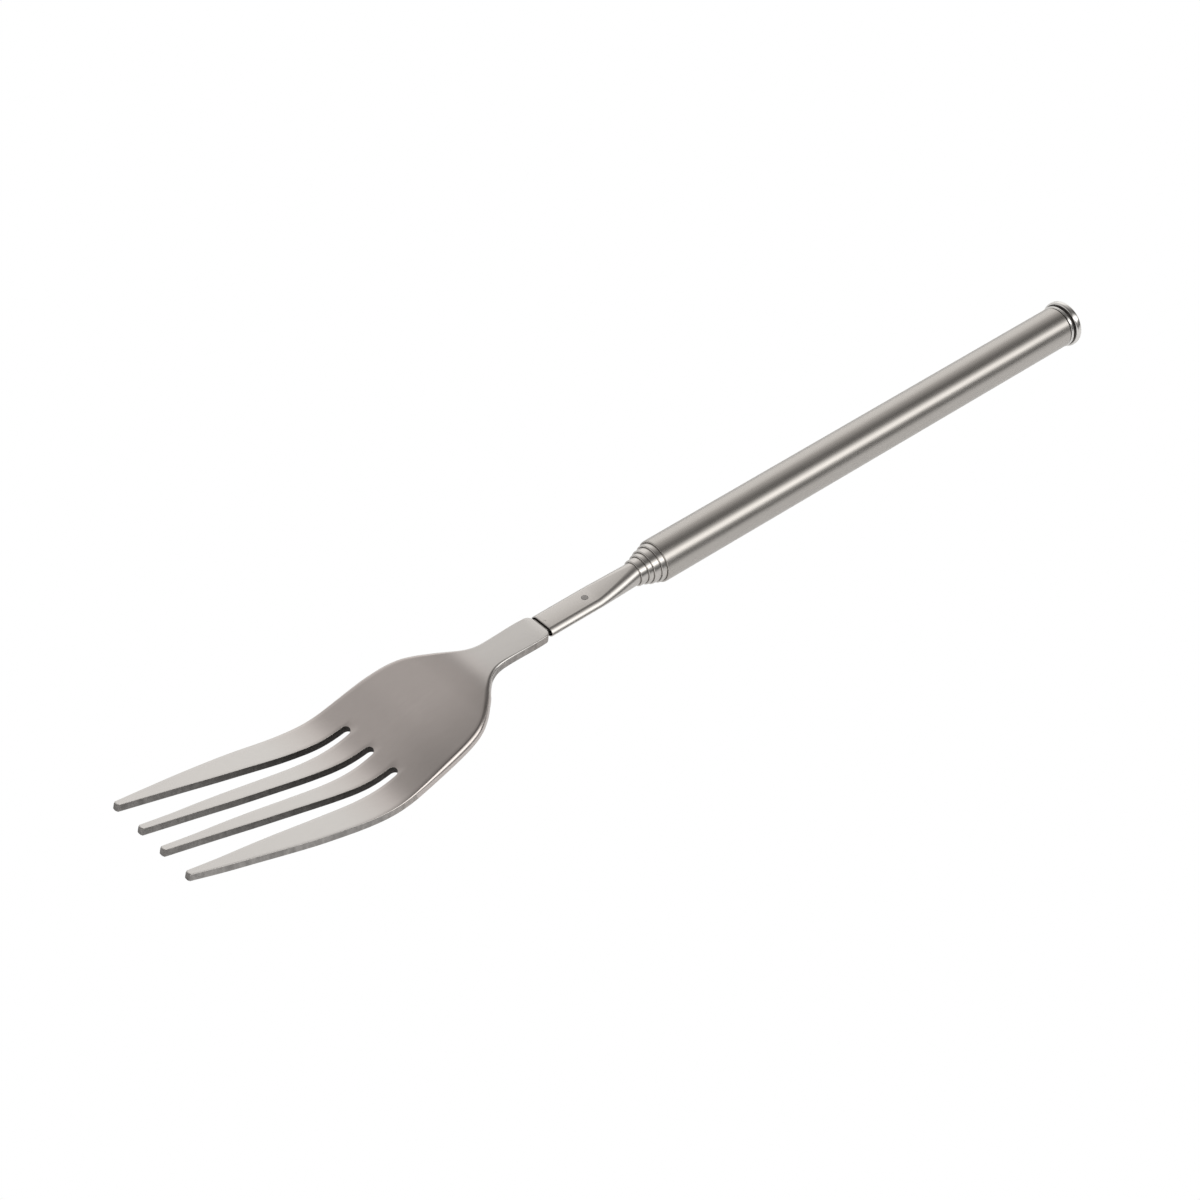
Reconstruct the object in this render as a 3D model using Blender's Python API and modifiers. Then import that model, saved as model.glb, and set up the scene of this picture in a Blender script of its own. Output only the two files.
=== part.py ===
"""Telescopic roasting fork: a four-tine steel fork head on six nested tubes.

Units are millimetres in the constants and metres in the scene.  The common axis of
the tubes is the X axis.  The origin is the centre of the end plug's flat face, the
tines point along -X and +Z is up.  Everything is drawn closed (tubes pushed home).
"""
import math

import bmesh
import bpy
from mathutils import Quaternion

MM = 0.001

# ---- driving dimensions, in millimetres -------------------------------------------
HANDLE_LENGTH = 108.7          # handle tube, lip to tail
PLUG_PROUD = 2.8               # how far the end plug stands out behind the handle tube
LIP_X = -(HANDLE_LENGTH + PLUG_PROUD)      # the handle's front lip
HANDLE_RADIUS = 4.2            # outside radius of the handle tube
RADIUS_STEP = 0.4              # each nested tube is this much smaller in radius
WALL = 0.22                    # tube wall
LIP_CLEARANCE = 0.05           # between a swaged lip and the tube running in it
LIP_ROUND = 0.18               # how far the front edge of a lip rounds inwards
LIP_LENGTH = 0.6               # length of the swaged zone
STAGES = 5                     # sliding stages, each one tube running in the next larger
# How far each nested tube's lip stands in front of the handle's lip when closed.
LIP_PROTRUSION = (0.0, 1.07, 2.52, 3.52, 5.05)
TAIL_DEPTH = 96.5              # all nested tubes end this far behind the handle's lip
SEGMENTS = 40                  # facets around every round piece

BUSH_LENGTH = 3.0
BUSH_INNER_GAP = 0.02          # bush on its own tube
RUNNING_GAP = 0.03             # bush or leaf to the bore it slides in
BUSH_TAIL_MARGIN = 0.3         # the tube's tail stands behind its bush by this much
LEAF_LENGTH = 12.0
LEAF_END_GAP = 0.1             # leaf to bush
LEAF_ARC = 168.0               # degrees covered by each half-round leaf
LEAF_THICKNESS = 0.12

STEM_RADIUS = HANDLE_RADIUS - STAGES * RADIUS_STEP
STEM_FLAT_HALF_HEIGHT = 1.05   # half the height of the pressed-flat front of the stem
STEM_SIDE_ROUND = 0.9          # how fast the sides narrow as the stem is pressed flat
STEM_SIDE_BEVEL = 0.4          # how much nearer to bevels than to ellipses the sides end
STEM_ROUND_END = 5.2           # the stem is round behind this, in front of the handle lip
STEM_FLAT_START = 15.0         # and fully flat in front of this
STEM_TAPER_POWER = 1.2         # 1 is a straight taper between the two
STEM_TIP = 26.7                # the flat end of the stem

SHEET = 1.8                    # greatest thickness of the fork head
TANG_SHEET = 1.3               # the tang is thinned to this
TANG_HALF_WIDTH = 2.1
TANG_BACK = 14.5
TONGUE_SHOULDER = 27.15
TIP_X = 110.6                  # tine tips, in front of the handle lip
TIP_CORNER = 0.3
ROOT_X = 66.3                  # where the slots' round ends begin
EDGE_BEVEL = 0.16

PIN_RADIUS = 0.6
PIN_X = 16.7
PIN_HALF_LENGTH = 1.07
PIN_HOLE_GAP = 0.05
PIN_BEVEL = 0.08

PLUG_SPIGOT_GAP = 0.05         # spigot in the handle's bore
PLUG_SPIGOT_LENGTH = 11.7
PLUG_FACE_GAP = 0.08           # plug's first bead to the end of the handle tube
PLUG_CHAMFER = 0.4
# Face, rounded flange, groove and small bead: x and radius.
PLUG_HEAD = ((0.0, 0.0), (0.0, 4.05), (-0.08, 4.35), (-0.28, 4.62), (-0.55, 4.73),
             (-1.0, 4.75), (-1.28, 4.65), (-1.42, 4.35), (-1.45, 3.8), (-1.82, 3.8),
             (-1.87, 4.15), (-2.05, 4.34), (-2.25, 4.38), (-2.48, 4.25), (-2.56, 3.95))

# Fork head, distances in front of the handle lip and half-widths.
OUTER_EDGE = ((27.0, 3.1), (30.2, 3.24), (35.5, 3.16), (38.4, 3.24), (40.2, 3.6),
              (42.0, 4.5), (44.0, 6.15), (46.0, 8.2), (48.0, 10.05), (50.0, 11.4),
              (52.5, 12.35), (56.0, 12.95), (60.0, 13.22), (70.0, 13.36),
              (80.0, 13.26), (86.0, 13.14), (92.0, 12.74), (98.0, 12.2),
              (104.0, 11.6), (110.6, 10.8))
OUTER_SLOT_OUT = ((66.3, 7.62), (70.0, 7.74), (73.0, 7.86), (76.0, 8.0), (80.0, 8.12),
                  (86.0, 8.38), (92.0, 8.62), (98.0, 8.95), (104.0, 9.32),
                  (110.6, 9.62))
OUTER_SLOT_IN = ((66.3, 5.6), (70.0, 5.45), (73.0, 5.25), (76.0, 5.05), (80.0, 4.85),
                 (86.0, 4.66), (92.0, 4.5), (98.0, 4.25), (104.0, 3.95), (110.6, 3.74))
MIDDLE_SLOT = ((66.3, 1.0), (68.0, 1.1), (70.0, 1.23), (73.0, 1.4), (76.0, 1.54),
               (80.0, 1.64), (86.0, 1.74), (92.0, 1.83), (98.0, 2.05), (104.0, 2.32),
               (110.6, 2.52))
# Height of the fork head's upper face above the tube axis.
SIDE_PROFILE = ((14.0, 0.65), (24.0, 0.65), (26.4, 0.65), (27.2, 0.8), (28.2, 0.87),
                (31.0, 0.9), (34.0, 0.9), (38.0, 0.88), (41.0, 0.82), (43.0, 0.7),
                (44.5, 0.42), (46.0, -0.08), (48.0, -0.66), (50.0, -1.13),
                (54.0, -2.04), (58.0, -3.0), (62.0, -4.19), (66.0, -5.36),
                (68.0, -5.77), (70.0, -5.97), (72.0, -5.92), (74.0, -5.7),
                (78.0, -4.92), (84.0, -3.36), (92.0, -1.19), (98.0, 0.43),
                (104.0, 1.98), (110.6, 3.78))
# Thickness of the sheet, in front of the tang.
THICKNESS = ((27.0, 1.75), (40.0, 1.8), (56.0, 1.8), (66.0, 1.65), (76.0, 1.5),
             (110.6, 1.45))
NECK_ROWS = (30.2, 33.0, 36.0, 38.5, 40.5, 42.0, 43.5, 45.0, 46.5, 48.0, 49.5, 51.0,
             53.0, 55.5, 58.5, 61.5, 64.0)
TINE_ROWS = (68.4, 70.3, 72.2, 74.4, 77.2, 81.0, 86.0, 92.0, 98.5, 104.5, 109.6)
SHOULDER = ((TONGUE_SHOULDER, TANG_HALF_WIDTH), (27.7, 2.72), (28.7, 3.12))
TANG_ROWS = (TANG_BACK, PIN_X + 3.0, STEM_TIP - 0.4, TONGUE_SHOULDER - 0.25)
# The grid's columns across the tongue, as parts of its half-width.
TONGUE_FRACTIONS = (0.0, 0.11, 0.22, 0.33, 0.42, 0.49, 0.56, 0.63, 0.68, 0.73, 0.87, 1.0)
TANG_COLUMNS = 10              # columns up to this one go on into the tang


# ---- scene helpers ----------------------------------------------------------------
def clear_scene():
    for item in list(bpy.data.objects):
        bpy.data.objects.remove(item, do_unlink=True)


def make_collection(name):
    collection = bpy.data.collections.new(name)
    bpy.context.scene.collection.children.link(collection)
    return collection


def steel(name, color, roughness):
    material = bpy.data.materials.new(name)
    material.use_nodes = True
    shader = material.node_tree.nodes["Principled BSDF"]
    shader.inputs["Base Color"].default_value = (*color, 1.0)
    shader.inputs["Metallic"].default_value = 1.0
    shader.inputs["Roughness"].default_value = roughness
    return material


def smooth_curve(points, x):
    """Cubic through the points, with the slope of the chord between the neighbours."""
    xs = [p[0] for p in points]
    ys = [p[1] for p in points]
    last = len(points) - 1
    k = 0
    while k < last - 1 and x > xs[k + 1]:
        k += 1

    def slope(i):
        low = max(i - 1, 0)
        high = min(i + 1, last)
        return (ys[high] - ys[low]) / (xs[high] - xs[low])

    span = xs[k + 1] - xs[k]
    t = min(max((x - xs[k]) / span, 0.0), 1.0)
    blend = t * t * (3.0 - 2.0 * t)
    start = span * slope(k) * t * (1.0 - t) ** 2
    end = span * slope(k + 1) * t * t * (1.0 - t)
    return ys[k] * (1.0 - blend) + ys[k + 1] * blend + start - end


def place(mesh, name, parent, material, location_x=0.0):
    """Make the part's object with its origin on the tube axis."""
    item = bpy.data.objects.new(name, mesh)
    PARTS.objects.link(item)
    item.parent = parent
    item.location = ((location_x - parent_x(parent)) * MM, 0.0, 0.0)
    mesh.materials.append(material)
    return item


def parent_x(empty):
    return empty["axis_x"]


def body_empty(name, x, parent):
    """A joint's empty, on the tube axis."""
    empty = bpy.data.objects.new(name, None)
    PARTS.objects.link(empty)
    empty.empty_display_size = 0.01
    empty["axis_x"] = x
    empty.parent = parent
    start = parent_x(parent) if parent else 0.0
    empty.location = ((x - start) * MM, 0.0, 0.0)
    return empty


# ---- turned pieces ----------------------------------------------------------------
def turned(name, profile, parent, material, location_x):
    """Turn a closed profile of (x, radius) about the tube axis.

    The profile is listed from its +X end along the outside towards -X, and back along
    the inside, which is downwards in the object's own frame, whose Z lies along X.
    """
    mesh = bpy.data.meshes.new(name)
    points = [(radius * MM, 0.0, x * MM) for x, radius in profile]
    count = len(points)
    touches_axis = profile[0][1] == 0.0
    edges = [(i, i + 1) for i in range(count - 1)]
    if not touches_axis:
        edges.append((count - 1, 0))
    mesh.from_pydata(points, edges, [])
    item = place(mesh, name, parent, material, location_x)
    item.rotation_euler = (0.0, math.pi / 2.0, 0.0)
    screw = item.modifiers.new("turn", "SCREW")
    screw.axis = "Z"
    screw.angle = 2.0 * math.pi
    screw.steps = SEGMENTS
    screw.render_steps = SEGMENTS
    screw.use_merge_vertices = True
    screw.merge_threshold = 0.000001
    screw.use_smooth_shade = True
    return item


def tube_profile(radius, length):
    """Outside, swaged front lip and bore of one tube, with x measured from its lip."""
    bore = radius - WALL
    lip_bore = radius - RADIUS_STEP + LIP_CLEARANCE
    return (
        (length, radius),
        (2.0 * LIP_ROUND, radius),
        (LIP_ROUND * 0.6, radius - LIP_ROUND * 0.25),
        (0.0, radius - LIP_ROUND),
        (0.0, lip_bore),
        (LIP_LENGTH * 0.6, lip_bore),
        (LIP_LENGTH, bore),
        (length, bore),
    )


def make_tube(stage, parent):
    """Tube number stage, counted from the handle, which is 0."""
    radius = HANDLE_RADIUS - stage * RADIUS_STEP
    lip = LIP_X - LIP_PROTRUSION[stage]
    if stage == 0:
        length = HANDLE_LENGTH
        name = "handle_tube"
    else:
        length = TAIL_DEPTH + LIP_PROTRUSION[stage]
        name = f"tube_{stage + 1}"
    return turned(name, tube_profile(radius, length), parent, BRUSHED, lip)


def make_end_plug(parent):
    """Turned plug: spigot, small bead, groove, rounded flange and a flat face."""
    spigot = HANDLE_RADIUS - WALL - PLUG_SPIGOT_GAP
    seat = -PLUG_PROUD + PLUG_FACE_GAP
    front = -PLUG_PROUD - PLUG_SPIGOT_LENGTH
    profile = PLUG_HEAD + (
        (seat, 3.95),
        (seat, spigot),
        (front + PLUG_CHAMFER, spigot),
        (front, spigot - PLUG_CHAMFER),
        (front, 0.0),
    )
    return turned("end_plug", profile, parent, POLISHED, 0.0)


def make_bush(stage, parent):
    """Brass ring pressed on the tail of the tube that slides in tube number stage."""
    outer = HANDLE_RADIUS - stage * RADIUS_STEP - WALL - RUNNING_GAP
    inner = HANDLE_RADIUS - (stage + 1) * RADIUS_STEP + BUSH_INNER_GAP
    profile = ((BUSH_LENGTH, outer), (0.0, outer), (0.0, inner), (BUSH_LENGTH, inner))
    return turned(f"guide_bush_{stage + 1}", profile, parent, BRASS, bush_front())


def bush_front():
    return LIP_X + TAIL_DEPTH - BUSH_TAIL_MARGIN - BUSH_LENGTH


def leaf_front():
    return bush_front() - LEAF_END_GAP - LEAF_LENGTH


def make_leaf(stage, side, parent):
    """Half-round spring leaf between a tube's bore and the tube that slides in it."""
    bore = HANDLE_RADIUS - stage * RADIUS_STEP - WALL
    outer = bore - RUNNING_GAP
    mesh = bpy.data.meshes.new(f"leaf_{side}_{stage + 1}")
    top = (outer * MM, 0.0, LEAF_LENGTH * MM)
    bottom = (outer * MM, 0.0, 0.0)
    mesh.from_pydata([top, bottom], [(0, 1)], [])
    item = place(mesh, mesh.name, parent, BRONZE, leaf_front())
    centre = math.pi if side == "upper" else 0.0
    start = centre - math.radians(LEAF_ARC) / 2.0
    item.rotation_mode = "QUATERNION"
    along_tube = Quaternion((0.0, 1.0, 0.0), math.pi / 2.0)
    item.rotation_quaternion = along_tube @ Quaternion((0.0, 0.0, 1.0), start)
    screw = item.modifiers.new("bend", "SCREW")
    screw.axis = "Z"
    screw.angle = math.radians(LEAF_ARC)
    screw.steps = SEGMENTS // 2
    screw.render_steps = SEGMENTS // 2
    screw.use_smooth_shade = True
    shell = item.modifiers.new("sheet", "SOLIDIFY")
    shell.thickness = LEAF_THICKNESS * MM
    shell.offset = -1.0
    return item


# ---- stem: a round tube pressed flat at its front -----------------------------------
def pressed_section(half_height, radius, wall):
    """One ring of a round tube of this radius pressed to half_height, its girth kept.

    The section is two flats joined at each side by a half-ellipse, whose quarters
    straighten towards bevels as the tube is pressed.
    """
    pressed = radius - half_height
    side = radius - STEM_SIDE_ROUND * pressed
    power = 1.0 + STEM_SIDE_BEVEL * pressed / (radius - STEM_FLAT_HALF_HEIGHT)
    quarter = []
    for i in range(SEGMENTS // 4):
        angle = math.pi / 2.0 * (i + 0.5) / (SEGMENTS // 4)
        quarter.append((math.cos(angle) ** power, math.sin(angle) ** power))
    arc = [(1.0, 0.0)] + quarter + [(0.0, 1.0)]
    length = sum(math.hypot((b[0] - a[0]) * side, (b[1] - a[1]) * half_height)
                 for a, b in zip(arc, arc[1:]))
    flat = math.pi / 2.0 * radius - length
    first = [(flat + (side - wall) * y, (half_height - wall) * z) for y, z in quarter]
    second = [(-y, z) for y, z in reversed(first)]
    upper = first + second
    return upper + [(-y, -z) for y, z in upper]


def pressed_height(forward):
    """Half height of the stem at a distance in front of the handle's lip."""
    t = (forward - STEM_ROUND_END) / (STEM_FLAT_START - STEM_ROUND_END)
    t = min(max(t, 0.0), 1.0)
    blend = 1.0 - (1.0 - t) ** STEM_TAPER_POWER
    return STEM_RADIUS + (STEM_FLAT_HALF_HEIGHT - STEM_RADIUS) * blend


def make_stem(parent):
    """Open-ended tube: a loft from the round section to the pressed-flat one."""
    steps = 10
    span = STEM_FLAT_START - STEM_ROUND_END
    stations = [-TAIL_DEPTH, STEM_ROUND_END]
    stations += [STEM_ROUND_END + span * i / steps for i in range(1, steps + 1)]
    stations.append(STEM_TIP)
    shape = bmesh.new()
    rings = []
    for wall in (0.0, WALL):
        surface = []
        for forward in stations:
            ring = pressed_section(pressed_height(forward), STEM_RADIUS, wall)
            surface.append([shape.verts.new((-forward * MM, y * MM, z * MM)) for y, z in ring])
        rings.append(surface)
    outside, inside = rings
    for surface in rings:
        for a, b in zip(surface, surface[1:]):
            bridge(shape, a, b)
    bridge(shape, outside[0], inside[0])
    bridge(shape, outside[-1], inside[-1])
    stem = place(finish_mesh(shape, "stem_tube"), "stem_tube", parent, BRUSHED, LIP_X)
    drill(stem, PIN_RADIUS + PIN_HOLE_GAP, "stem_pin_hole", parent)
    return stem


def bridge(shape, ring_a, ring_b):
    """Quads between two rings of the same count."""
    count = len(ring_a)
    for i in range(count):
        j = (i + 1) % count
        shape.faces.new((ring_a[i], ring_a[j], ring_b[j], ring_b[i]))


def finish_mesh(shape, name):
    bmesh.ops.recalc_face_normals(shape, faces=shape.faces)
    mesh = bpy.data.meshes.new(name)
    shape.to_mesh(mesh)
    shape.free()
    mesh.shade_smooth()
    mesh.set_sharp_from_angle(angle=math.radians(35.0))
    return mesh


# ---- fork head: one pressed sheet ---------------------------------------------------
def column_fractions():
    """Half-width fractions of the columns that run from the tang to the slots' roots."""
    half = smooth_curve(OUTER_EDGE, ROOT_X)
    diagonal = math.sqrt(0.5)
    slot_mid = (OUTER_SLOT_IN[0][1] + OUTER_SLOT_OUT[0][1]) / 2.0
    slot_radius = (OUTER_SLOT_OUT[0][1] - OUTER_SLOT_IN[0][1]) / 2.0
    middle = MIDDLE_SLOT[0][1]
    columns = [0.0, middle * diagonal, middle]
    columns.append((middle + OUTER_SLOT_IN[0][1]) / 2.0)
    columns.append(slot_mid - slot_radius)
    columns.append(slot_mid - slot_radius * diagonal)
    columns.append(slot_mid)
    columns.append(slot_mid + slot_radius * diagonal)
    columns.append(slot_mid + slot_radius)
    width = half - columns[-1]
    columns += [columns[-1] + width / 3.0, columns[-1] + width * 2.0 / 3.0, half]
    return [y / half for y in columns]


def bowl_row(forward):
    """Columns' half-widths at one station between the tongue and the slots."""
    edge = smooth_curve(OUTER_EDGE, forward)
    t = (forward - NECK_ROWS[0]) / (ROOT_X - NECK_ROWS[0])
    t = min(max(t, 0.0), 1.0)
    pairs = zip(TONGUE_FRACTIONS, column_fractions())
    return [(forward, edge * (a * (1.0 - t) + b * t)) for a, b in pairs]


def root_row():
    """The row along the slots' half-round ends."""
    row = []
    slot_mid = (OUTER_SLOT_IN[0][1] + OUTER_SLOT_OUT[0][1]) / 2.0
    slot_radius = (OUTER_SLOT_OUT[0][1] - OUTER_SLOT_IN[0][1]) / 2.0
    for fraction in column_fractions():
        y = fraction * smooth_curve(OUTER_EDGE, ROOT_X)
        forward = ROOT_X
        for centre, radius in ((0.0, MIDDLE_SLOT[0][1]), (slot_mid, slot_radius)):
            inside = radius * radius - (y - centre) ** 2
            if inside > 0.0:
                forward = ROOT_X - math.sqrt(inside)
        row.append((forward, y))
    return row


def shoulder_row():
    """Back edge of the tongue, with its rounded corners."""
    inner = TONGUE_FRACTIONS[:TANG_COLUMNS]
    row = [(TONGUE_SHOULDER, TANG_HALF_WIDTH * f / inner[-1]) for f in inner]
    return row + list(SHOULDER[1:])


def tine_columns(forward):
    """Half-widths of the three edges of each tine at one station."""
    middle = smooth_curve(MIDDLE_SLOT, forward)
    inner = smooth_curve(OUTER_SLOT_IN, forward)
    outer = smooth_curve(OUTER_SLOT_OUT, forward)
    edge = smooth_curve(OUTER_EDGE, forward)
    width = edge - outer
    return ([middle, (middle + inner) / 2.0, inner],
            [outer, outer + width / 3.0, outer + width * 2.0 / 3.0, edge])


def tip_row(columns):
    """A tine's end, with small rounded corners."""
    row = [(TIP_X, y) for y in columns]
    row[0] = (TIP_X - TIP_CORNER, columns[0] + TIP_CORNER * 0.4)
    row[-1] = (TIP_X - TIP_CORNER, columns[-1] - TIP_CORNER * 0.4)
    return row


def make_fork_head(parent):
    """Half of the sheet's upper face on a grid, mirrored, thickened and edge-rounded."""
    shape = bmesh.new()
    thin = []

    def row_verts(row):
        verts = []
        for forward, y in row:
            z = smooth_curve(SIDE_PROFILE, forward)
            verts.append(shape.verts.new((-forward * MM, y * MM, z * MM)))
        return verts

    def strip(row_a, row_b):
        for i in range(min(len(row_a), len(row_b)) - 1):
            shape.faces.new((row_a[i], row_a[i + 1], row_b[i + 1], row_b[i]))

    shoulder = row_verts(shoulder_row())
    previous = None
    for forward in TANG_ROWS:
        inner = [(forward, y) for _, y in shoulder_row()[:TANG_COLUMNS]]
        row = row_verts(inner)
        thin += row
        if previous:
            strip(previous, row)
        previous = row
    strip(previous, shoulder[:TANG_COLUMNS])
    previous = shoulder
    for forward in NECK_ROWS:
        row = row_verts(bowl_row(forward))
        strip(previous, row)
        previous = row
    root = row_verts(root_row())
    strip(previous, root)
    inner_tine = root[2:5]
    outer_tine = root[8:12]
    for forward in TINE_ROWS:
        inner_columns, outer_columns = tine_columns(forward)
        row = row_verts([(forward, y) for y in inner_columns])
        strip(inner_tine, row)
        inner_tine = row
        row = row_verts([(forward, y) for y in outer_columns])
        strip(outer_tine, row)
        outer_tine = row
    inner_columns, outer_columns = tine_columns(TIP_X)
    strip(inner_tine, row_verts(tip_row(inner_columns)))
    strip(outer_tine, row_verts(tip_row(outer_columns)))
    for face in shape.faces:
        face.normal_update()
        if face.normal.z < 0.0:
            face.normal_flip()
    shape.verts.index_update()
    thick_at = {vert.index: smooth_curve(THICKNESS, -vert.co.x / MM) for vert in shape.verts}
    for vert in thin:
        thick_at[vert.index] = TANG_SHEET
    mesh = bpy.data.meshes.new("fork_head")
    shape.to_mesh(mesh)
    shape.free()
    mesh.shade_smooth()
    head = place(mesh, "fork_head", parent, BRUSHED, LIP_X)
    thickness = head.vertex_groups.new(name="thickness")
    for index, thick in thick_at.items():
        thickness.add([index], min(thick / SHEET, 1.0), "REPLACE")
    mirror = head.modifiers.new("other_half", "MIRROR")
    mirror.use_axis = (False, True, False)
    mirror.use_clip = True
    mirror.merge_threshold = 0.00001
    sheet = head.modifiers.new("sheet", "SOLIDIFY")
    sheet.thickness = SHEET * MM
    sheet.offset = -1.0
    sheet.vertex_group = "thickness"
    bevel = head.modifiers.new("edges", "BEVEL")
    bevel.width = EDGE_BEVEL * MM
    bevel.segments = 1
    bevel.limit_method = "ANGLE"
    bevel.angle_limit = math.radians(50.0)
    drill(head, PIN_RADIUS + PIN_HOLE_GAP, "tang_pin_hole", parent)
    return head


# ---- tang pin -----------------------------------------------------------------------
def round_bar(name, radius, half_length, collection):
    """Upright cylinder at the pin's place in the flat stem."""
    shape = bmesh.new()
    bmesh.ops.create_cone(shape, cap_ends=True, segments=20, radius1=radius * MM,
                          radius2=radius * MM, depth=2.0 * half_length * MM)
    mesh = bpy.data.meshes.new(name)
    shape.to_mesh(mesh)
    shape.free()
    item = bpy.data.objects.new(name, mesh)
    collection.objects.link(item)
    return item


def drill(target, radius, name, parent):
    """Cut the pin's hole through the target."""
    cutter = round_bar(name, radius, 3.0, CUTTERS)
    cutter.parent = parent
    cutter.location = ((LIP_X - PIN_X - parent_x(parent)) * MM, 0.0, 0.0)
    cutter.hide_render = True
    cutter.display_type = "WIRE"
    cut = target.modifiers.new(name, "BOOLEAN")
    cut.operation = "DIFFERENCE"
    cut.object = cutter


def make_pin(parent):
    """Round pin that holds the tang in the flat of the stem."""
    pin = round_bar("tang_pin", PIN_RADIUS, PIN_HALF_LENGTH, PARTS)
    pin.parent = parent
    pin.location = ((LIP_X - PIN_X - parent_x(parent)) * MM, 0.0, 0.0)
    pin.data.materials.append(BRUSHED)
    bevel = pin.modifiers.new("edges", "BEVEL")
    bevel.width = PIN_BEVEL * MM
    bevel.limit_method = "ANGLE"
    return pin


# ---- assembly -----------------------------------------------------------------------
def build():
    handle = body_empty("handle_axis", LIP_X, None)
    make_tube(0, handle)
    make_end_plug(handle)
    section = handle
    for stage in range(STAGES):
        spring = body_empty(f"slide_axis_{stage + 1}", leaf_front(), section)
        make_leaf(stage, "upper", spring)
        make_leaf(stage, "lower", spring)
        section = body_empty(f"turn_axis_{stage + 1}", bush_front(), spring)
        make_bush(stage, section)
        if stage + 1 < STAGES:
            make_tube(stage + 1, section)
    make_stem(section)
    make_fork_head(section)
    make_pin(section)


clear_scene()
PARTS = make_collection("roasting_fork")
CUTTERS = make_collection("cutters")
BRUSHED = steel("brushed_steel", (0.62, 0.60, 0.57), 0.32)
POLISHED = steel("polished_steel", (0.80, 0.79, 0.77), 0.10)
BRASS = steel("brass", (0.78, 0.62, 0.34), 0.30)
BRONZE = steel("spring_bronze", (0.72, 0.48, 0.30), 0.35)
build()
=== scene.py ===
"""Looks of the telescopic roasting fork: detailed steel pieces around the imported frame.

Lengths in the design constants are millimetres; the scene is in metres.  The tubes'
common axis is the X axis, the end plug's face is at x = 0 and the tines point to -X.
"Forward" and u are distances towards the tines from the handle tube's front lip.
"""
import math

import bmesh
import bpy
from mathutils import Matrix, Vector


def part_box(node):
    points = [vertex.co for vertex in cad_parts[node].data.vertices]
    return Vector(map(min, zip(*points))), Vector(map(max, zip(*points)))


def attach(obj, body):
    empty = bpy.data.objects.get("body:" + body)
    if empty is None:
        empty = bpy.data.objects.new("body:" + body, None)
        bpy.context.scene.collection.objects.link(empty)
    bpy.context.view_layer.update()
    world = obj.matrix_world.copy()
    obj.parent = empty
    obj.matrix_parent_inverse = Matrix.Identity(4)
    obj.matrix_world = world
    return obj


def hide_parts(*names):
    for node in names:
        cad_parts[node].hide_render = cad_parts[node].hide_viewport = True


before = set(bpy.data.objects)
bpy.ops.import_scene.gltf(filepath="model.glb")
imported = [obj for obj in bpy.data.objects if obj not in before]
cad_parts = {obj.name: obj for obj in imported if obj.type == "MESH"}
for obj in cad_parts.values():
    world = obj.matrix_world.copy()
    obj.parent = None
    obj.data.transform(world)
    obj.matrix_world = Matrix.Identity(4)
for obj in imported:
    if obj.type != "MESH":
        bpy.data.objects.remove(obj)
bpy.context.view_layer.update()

MM = 0.001

# ---- design sizes, as in the CAD model ----------------------------------------------
HANDLE_RADIUS = 4.2
RADIUS_STEP = 0.4
WALL = 0.22
LIP_CLEARANCE = 0.05
STAGES = 5
TANG_STATIONS = (26.0, 20.0, 14.5)
TONGUE_SHOULDER = 27.15
ROOT_X = 66.3
TIP_X = 110.6
OUTER_EDGE = ((27.0, 3.1), (30.2, 3.24), (35.5, 3.16), (38.4, 3.24), (40.2, 3.6),
              (42.0, 4.5), (44.0, 6.15), (46.0, 8.2), (48.0, 10.05), (50.0, 11.4),
              (52.5, 12.35), (56.0, 12.95), (60.0, 13.22), (70.0, 13.36),
              (80.0, 13.26), (86.0, 13.14), (92.0, 12.74), (98.0, 12.2),
              (104.0, 11.6), (110.6, 10.8))
OUTER_SLOT_OUT = ((66.3, 7.62), (70.0, 7.74), (73.0, 7.86), (76.0, 8.0), (80.0, 8.12),
                  (86.0, 8.38), (92.0, 8.62), (98.0, 8.95), (104.0, 9.32),
                  (110.6, 9.62))
OUTER_SLOT_IN = ((66.3, 5.6), (70.0, 5.45), (73.0, 5.25), (76.0, 5.05), (80.0, 4.85),
                 (86.0, 4.66), (92.0, 4.5), (98.0, 4.25), (104.0, 3.95), (110.6, 3.74))
MIDDLE_SLOT = ((66.3, 1.0), (68.0, 1.1), (70.0, 1.23), (73.0, 1.4), (76.0, 1.54),
               (80.0, 1.64), (86.0, 1.74), (92.0, 1.83), (98.0, 2.05), (104.0, 2.32),
               (110.6, 2.52))
# Height of the fork head's upper face above the tube axis.
SIDE_PROFILE = ((14.0, 0.65), (24.0, 0.65), (26.4, 0.65), (27.2, 0.8), (28.2, 0.87),
                (31.0, 0.9), (34.0, 0.9), (38.0, 0.88), (41.0, 0.82), (43.0, 0.7),
                (44.5, 0.42), (46.0, -0.08), (48.0, -0.66), (50.0, -1.13),
                (54.0, -2.04), (58.0, -3.0), (62.0, -4.19), (66.0, -5.36),
                (68.0, -5.77), (70.0, -5.97), (72.0, -5.92), (74.0, -5.7),
                (78.0, -4.92), (84.0, -3.36), (92.0, -1.19), (98.0, 0.43),
                (104.0, 1.98), (110.6, 3.78))
# Thickness of the sheet, in front of the tang.
THICKNESS = ((27.0, 1.75), (40.0, 1.8), (56.0, 1.8), (66.0, 1.65), (76.0, 1.5),
             (110.6, 1.45))
# Rounding of the head's outside edge, above and below: soft around the bowl.
TOP_ROUND = ((27.0, 0.15), (34.0, 0.2), (40.0, 0.5), (46.0, 0.75), (58.0, 0.75),
             (64.0, 0.45), (70.0, 0.2), (76.0, 0.1), (110.6, 0.1))
UNDER_ROUND = ((27.0, 0.2), (44.0, 0.25), (58.0, 0.25), (70.0, 0.15), (76.0, 0.1),
               (110.6, 0.1))
SLOT_ROUND = 0.05
TIP_ROUND = 0.24

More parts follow.
